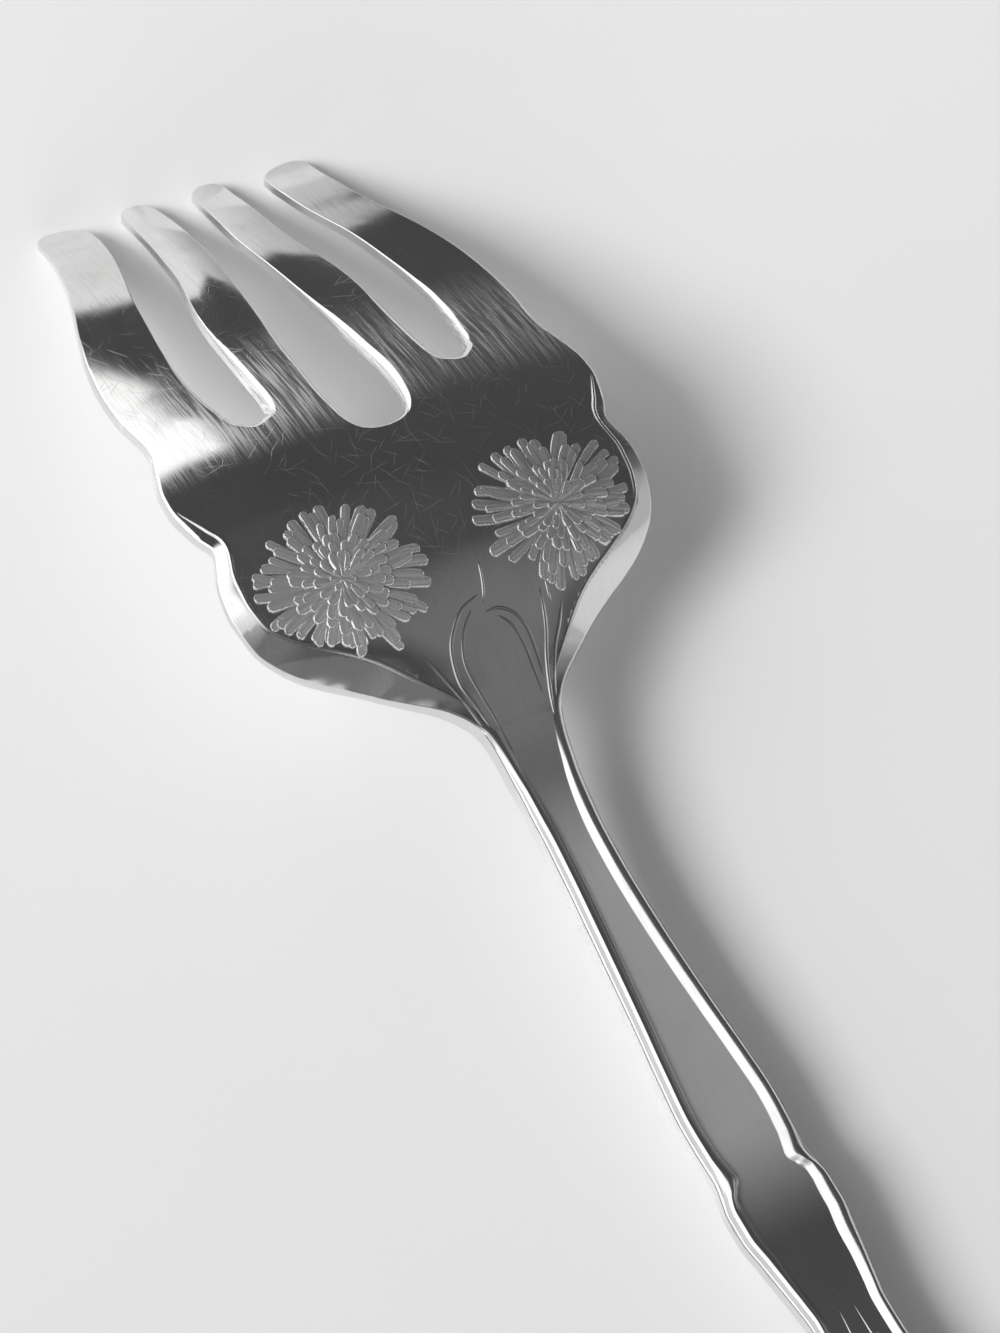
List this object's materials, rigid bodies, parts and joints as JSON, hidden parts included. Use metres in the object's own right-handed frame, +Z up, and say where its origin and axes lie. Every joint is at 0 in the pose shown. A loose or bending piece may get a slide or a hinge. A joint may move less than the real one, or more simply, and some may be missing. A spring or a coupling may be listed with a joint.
{
  "type": "serving fork",
  "caption": "Broad serving fork with wide slotted tines, a lobed bowl with flower relief and a rimmed handle, lying back up, for lifting and serving sliced food.",
  "frame": {"origin": "on the surface that the fork lies on, under the middle of its length and width", "axes": "+X across the tines, +Y from the handle end to the tine tips, +Z up, out of the fork's back"},
  "size_m": [0.0564, 0.211, 0.024],
  "materials": {
    "silver_plate": "polished silver plate with fine use scratches",
    "silver_relief": "struck silver relief, tarnish left in the hollows"
  },
  "bodies": {
    "root": {"tine_outer_left": "silver_plate", "tine_inner_left": "silver_plate", "tine_inner_right": "silver_plate", "tine_outer_right": "silver_plate", "bowl": "silver_plate", "flower_left": "silver_relief", "flower_right": "silver_relief", "neck": "silver_plate", "handle_shank": "silver_plate", "handle_end": "silver_plate", "rim_left": "silver_relief", "rim_right": "silver_relief"}
  },
  "joints": []
}
